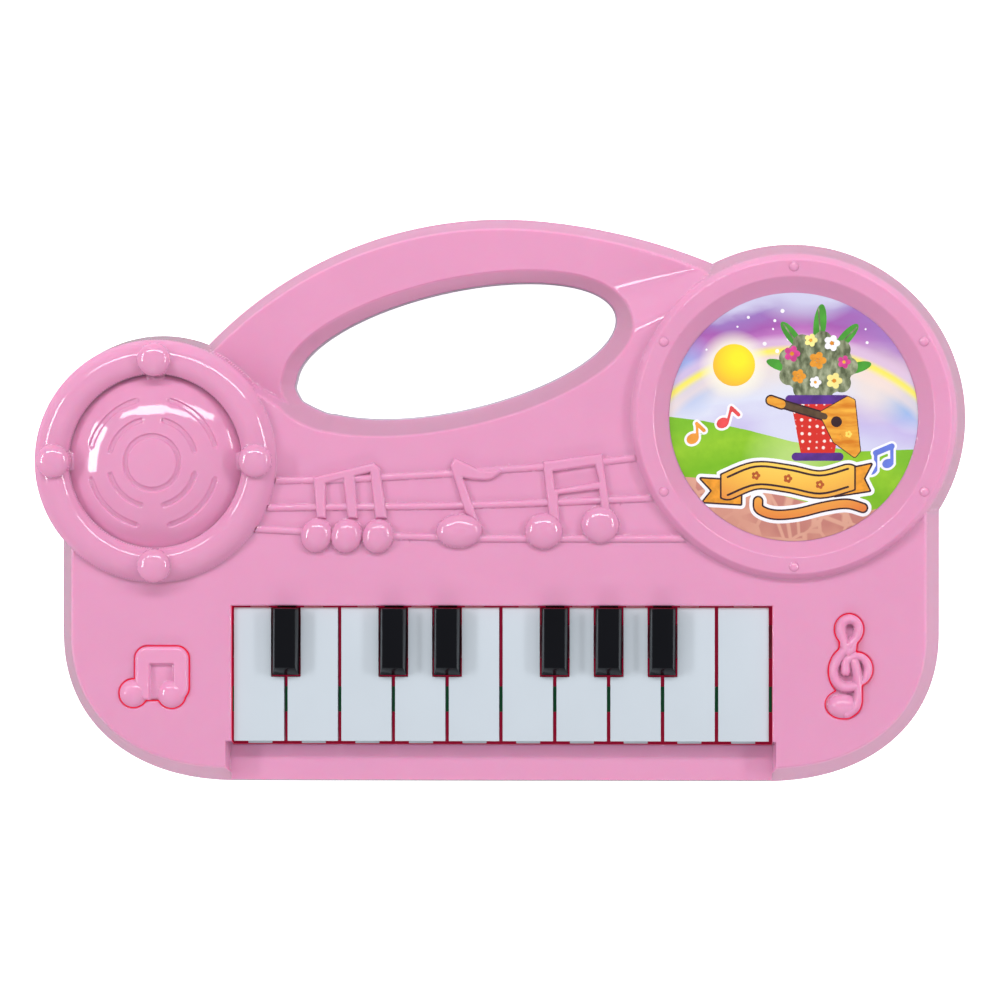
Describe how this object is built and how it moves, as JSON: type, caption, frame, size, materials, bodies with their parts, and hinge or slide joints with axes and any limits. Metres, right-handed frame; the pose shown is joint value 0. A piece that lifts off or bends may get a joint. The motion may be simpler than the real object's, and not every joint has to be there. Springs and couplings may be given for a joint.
{
  "type": "toy electronic keyboard",
  "caption": "Child's toy piano with a carry handle, sprung keys, two melody buttons, a round speaker face and a round picture badge, in a two-shell plastic case.",
  "frame": {"origin": "middle of the box around the toy at the level of its feet, with the toy lying on its back", "axes": "+Z out of the playing face, +Y towards the carry handle, +X towards the badge end"},
  "size_m": [0.2511, 0.1519, 0.039],
  "materials": {
    "pink_case": "glossy pink injection-moulded ABS",
    "rear_case": "pale grey satin moulded ABS",
    "printed_sticker": "printed vinyl sticker with a gloss laminate",
    "white_key_plastic": "cool white semi-gloss ABS",
    "black_key_plastic": "black gloss ABS",
    "frame_plastic": "dark grey moulded frame",
    "plated_steel": "zinc-plated steel",
    "silicone": "translucent grey silicone",
    "circuit_board": "green solder mask on a phenolic board",
    "chip_epoxy": "black epoxy blob",
    "capacitor_sleeve": "dark blue sleeve, aluminium can",
    "speaker_steel": "pressed steel basket and magnet",
    "speaker_paper": "black pressed paper cone",
    "clamp_plastic": "white moulded clamp",
    "wire_red": "red PVC insulation",
    "cell_wrap": "plain printed cell wrap with bare ends"
  },
  "bodies": {
    "case": {"front_shell": "pink_case", "rear_shell": "rear_case", "badge_sticker": "printed_sticker", "key_pivot_rod": "plated_steel", "key_frame": "frame_plastic", "key_frame_screws": "plated_steel", "key_membrane": "silicone", "main_board": "circuit_board", "board_chip": "chip_epoxy", "board_capacitors": "capacitor_sleeve", "board_screws": "plated_steel", "note_button_pad": "silicone", "clef_button_pad": "silicone", "speaker_frame": "speaker_steel", "speaker_magnet": "speaker_steel", "speaker_cone": "speaker_paper", "speaker_clamp": "clamp_plastic", "speaker_clamp_screws": "plated_steel", "speaker_wires": "wire_red", "battery_wires": "wire_red", "battery_1": "cell_wrap", "battery_2": "cell_wrap", "battery_3": "cell_wrap", "battery_springs": "plated_steel", "battery_plates": "plated_steel", "case_screws": "plated_steel"},
    "white_key_1": {"white_key_1": "white_key_plastic"},
    "white_key_2": {"white_key_2": "white_key_plastic"},
    "white_key_3": {"white_key_3": "white_key_plastic"},
    "white_key_4": {"white_key_4": "white_key_plastic"},
    "white_key_5": {"white_key_5": "white_key_plastic"},
    "white_key_6": {"white_key_6": "white_key_plastic"},
    "white_key_7": {"white_key_7": "white_key_plastic"},
    "white_key_8": {"white_key_8": "white_key_plastic"},
    "white_key_9": {"white_key_9": "white_key_plastic"},
    "white_key_10": {"white_key_10": "white_key_plastic"},
    "black_key_1": {"black_key_1": "black_key_plastic"},
    "black_key_2": {"black_key_2": "black_key_plastic"},
    "black_key_3": {"black_key_3": "black_key_plastic"},
    "black_key_4": {"black_key_4": "black_key_plastic"},
    "black_key_5": {"black_key_5": "black_key_plastic"},
    "black_key_6": {"black_key_6": "black_key_plastic"},
    "note_button": {"note_button": "pink_case"},
    "clef_button": {"clef_button": "pink_case"},
    "battery_cover": {"battery_cover": "rear_case", "battery_cover_screw": "plated_steel"}
  },
  "joints": [
    {"name": "white_key_1_press", "type": "hinge", "parent": "case", "child": "white_key_1", "pos_m": [0, -0.02, 0.0255], "axis": [1, 0, 0], "range_deg": [0, 3.9], "stiffness_Nm_per_rad": 0.2, "springref_deg": -1.72},
    {"name": "white_key_2_press", "type": "hinge", "parent": "case", "child": "white_key_2", "pos_m": [0, -0.02, 0.0255], "axis": [1, 0, 0], "range_deg": [0, 3.9], "stiffness_Nm_per_rad": 0.2, "springref_deg": -1.72},
    {"name": "white_key_3_press", "type": "hinge", "parent": "case", "child": "white_key_3", "pos_m": [0, -0.02, 0.0255], "axis": [1, 0, 0], "range_deg": [0, 3.9], "stiffness_Nm_per_rad": 0.2, "springref_deg": -1.72},
    {"name": "white_key_4_press", "type": "hinge", "parent": "case", "child": "white_key_4", "pos_m": [0, -0.02, 0.0255], "axis": [1, 0, 0], "range_deg": [0, 3.9], "stiffness_Nm_per_rad": 0.2, "springref_deg": -1.72},
    {"name": "white_key_5_press", "type": "hinge", "parent": "case", "child": "white_key_5", "pos_m": [0, -0.02, 0.0255], "axis": [1, 0, 0], "range_deg": [0, 3.9], "stiffness_Nm_per_rad": 0.2, "springref_deg": -1.72},
    {"name": "white_key_6_press", "type": "hinge", "parent": "case", "child": "white_key_6", "pos_m": [0, -0.02, 0.0255], "axis": [1, 0, 0], "range_deg": [0, 3.9], "stiffness_Nm_per_rad": 0.2, "springref_deg": -1.72},
    {"name": "white_key_7_press", "type": "hinge", "parent": "case", "child": "white_key_7", "pos_m": [0, -0.02, 0.0255], "axis": [1, 0, 0], "range_deg": [0, 3.9], "stiffness_Nm_per_rad": 0.2, "springref_deg": -1.72},
    {"name": "white_key_8_press", "type": "hinge", "parent": "case", "child": "white_key_8", "pos_m": [0, -0.02, 0.0255], "axis": [1, 0, 0], "range_deg": [0, 3.9], "stiffness_Nm_per_rad": 0.2, "springref_deg": -1.72},
    {"name": "white_key_9_press", "type": "hinge", "parent": "case", "child": "white_key_9", "pos_m": [0, -0.02, 0.0255], "axis": [1, 0, 0], "range_deg": [0, 3.9], "stiffness_Nm_per_rad": 0.2, "springref_deg": -1.72},
    {"name": "white_key_10_press", "type": "hinge", "parent": "case", "child": "white_key_10", "pos_m": [0, -0.02, 0.0255], "axis": [1, 0, 0], "range_deg": [0, 3.9], "stiffness_Nm_per_rad": 0.2, "springref_deg": -1.72},
    {"name": "black_key_1_press", "type": "hinge", "parent": "case", "child": "black_key_1", "pos_m": [0, -0.02, 0.0255], "axis": [1, 0, 0], "range_deg": [0, 3.9], "stiffness_Nm_per_rad": 0.2, "springref_deg": -1.72},
    {"name": "black_key_2_press", "type": "hinge", "parent": "case", "child": "black_key_2", "pos_m": [0, -0.02, 0.0255], "axis": [1, 0, 0], "range_deg": [0, 3.9], "stiffness_Nm_per_rad": 0.2, "springref_deg": -1.72},
    {"name": "black_key_3_press", "type": "hinge", "parent": "case", "child": "black_key_3", "pos_m": [0, -0.02, 0.0255], "axis": [1, 0, 0], "range_deg": [0, 3.9], "stiffness_Nm_per_rad": 0.2, "springref_deg": -1.72},
    {"name": "black_key_4_press", "type": "hinge", "parent": "case", "child": "black_key_4", "pos_m": [0, -0.02, 0.0255], "axis": [1, 0, 0], "range_deg": [0, 3.9], "stiffness_Nm_per_rad": 0.2, "springref_deg": -1.72},
    {"name": "black_key_5_press", "type": "hinge", "parent": "case", "child": "black_key_5", "pos_m": [0, -0.02, 0.0255], "axis": [1, 0, 0], "range_deg": [0, 3.9], "stiffness_Nm_per_rad": 0.2, "springref_deg": -1.72},
    {"name": "black_key_6_press", "type": "hinge", "parent": "case", "child": "black_key_6", "pos_m": [0, -0.02, 0.0255], "axis": [1, 0, 0], "range_deg": [0, 3.9], "stiffness_Nm_per_rad": 0.2, "springref_deg": -1.72},
    {"name": "note_button_press", "type": "slide", "parent": "case", "child": "note_button", "axis": [0, 0, -1], "range_m": [0, 0.0012], "stiffness_N_per_m": 350, "springref_m": -0.001},
    {"name": "clef_button_press", "type": "slide", "parent": "case", "child": "clef_button", "axis": [0, 0, -1], "range_m": [0, 0.0012], "stiffness_N_per_m": 350, "springref_m": -0.001},
    {"name": "battery_cover_open", "type": "hinge", "parent": "case", "child": "battery_cover", "pos_m": [-0.0302, -0.0075, 0.0015], "axis": [0, 1, 0], "range_deg": [0, 60]}
  ]
}
